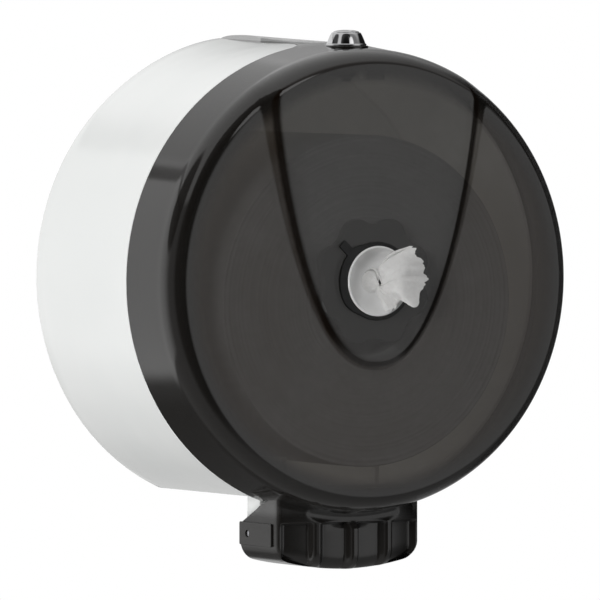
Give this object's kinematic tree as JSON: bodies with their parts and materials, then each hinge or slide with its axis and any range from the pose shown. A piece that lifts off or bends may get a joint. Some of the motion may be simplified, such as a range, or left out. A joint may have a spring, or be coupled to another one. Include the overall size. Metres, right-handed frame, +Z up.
{
  "type": "centre-feed toilet roll dispenser",
  "caption": "Round wall dispenser for a centre-feed toilet roll: white drum housing, smoke drop-down cover hinged below, nozzle in the middle and a key lock on top.",
  "frame": {"origin": "where the axis of the round drum meets the wall, in the plane of the housing's back", "axes": "+Z up, +Y into the wall so that the cover faces -Y, +X to the right of someone who faces the dispenser"},
  "size_m": [0.264, 0.171, 0.3013],
  "materials": {
    "white_plastic": "gloss",
    "smoke_plastic": "gloss",
    "nozzle_white": "satin",
    "black_plastic": "satin",
    "grey_plastic": "satin",
    "tissue": "matte",
    "chrome": "polished",
    "zinc_steel": "satin",
    "brass": "satin"
  },
  "bodies": {
    "housing": {"rear_housing": "white_plastic", "hinge_pin_left": "zinc_steel", "hinge_pin_right": "zinc_steel", "tissue_roll": "tissue", "inner_strand": "tissue"},
    "cover": {"front_cover": "smoke_plastic", "feed_nozzle": "nozzle_white", "nozzle_collar": "black_plastic", "nozzle_nut": "grey_plastic", "tissue_tail": "tissue", "lock_body": "chrome", "lock_washer": "zinc_steel", "lock_nut": "zinc_steel"},
    "lock_core": {"lock_plug": "chrome", "lock_wafers": "brass", "wafer_springs": "zinc_steel", "lock_retainer": "zinc_steel", "lock_cam": "black_plastic", "cam_washer": "zinc_steel", "cam_screw": "zinc_steel"}
  },
  "joints": [
    {"name": "cover_hinge", "type": "hinge", "parent": "housing", "child": "cover", "pos_m": [0, -0.09, -0.1425], "axis": [1, 0, 0], "range_deg": [0, 95]},
    {"name": "lock_turn", "type": "hinge", "parent": "cover", "child": "lock_core", "pos_m": [0, -0.1201, 0.1305], "axis": [0, 0, -1], "range_deg": [0, 90]}
  ]
}
